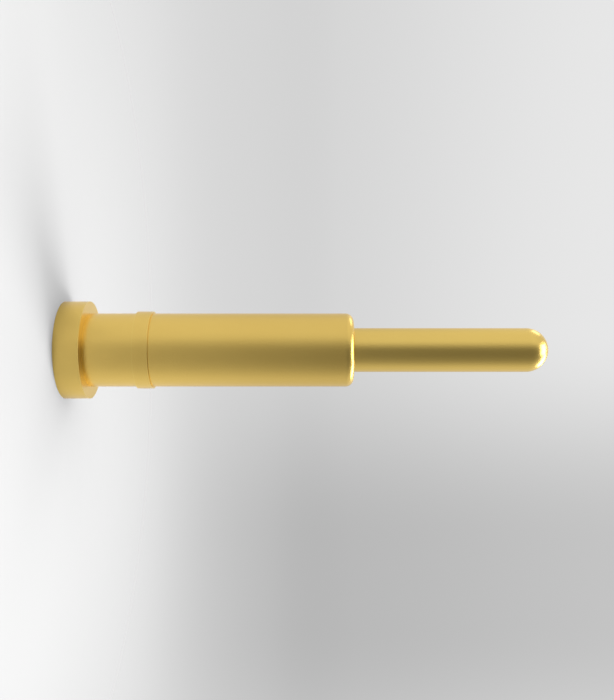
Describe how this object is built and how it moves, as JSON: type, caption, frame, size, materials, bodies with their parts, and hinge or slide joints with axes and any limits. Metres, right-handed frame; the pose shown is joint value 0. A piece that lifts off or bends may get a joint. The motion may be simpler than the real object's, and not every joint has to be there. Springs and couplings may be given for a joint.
{
  "type": "pogo pin",
  "caption": "Spring-loaded contact pin that stands on a solder flange: a barrel with a press collar and a rolled mouth, and a round-nosed plunger that a coil spring pushes out.",
  "frame": {"origin": "centre of the solder face, on the pin's axis", "axes": "+Z along the pin's axis, from the solder face to the contact tip; X and Y are alike"},
  "size_m": [0.002, 0.002, 0.0099],
  "materials": {
    "gold_plated_barrel": "turned brass, gold plated, satin",
    "gold_plated_plunger": "turned brass, gold plated, bright",
    "spring_wire": "drawn stainless wire"
  },
  "bodies": {
    "barrel": {"barrel": "gold_plated_barrel", "spring": "spring_wire"},
    "plunger": {"plunger": "gold_plated_plunger"}
  },
  "joints": [
    {"name": "plunger_slide", "type": "slide", "parent": "barrel", "child": "plunger", "axis": [0, 0, -1], "range_m": [0, 0.002], "stiffness_N_per_m": 290, "deforming": ["spring"]}
  ]
}
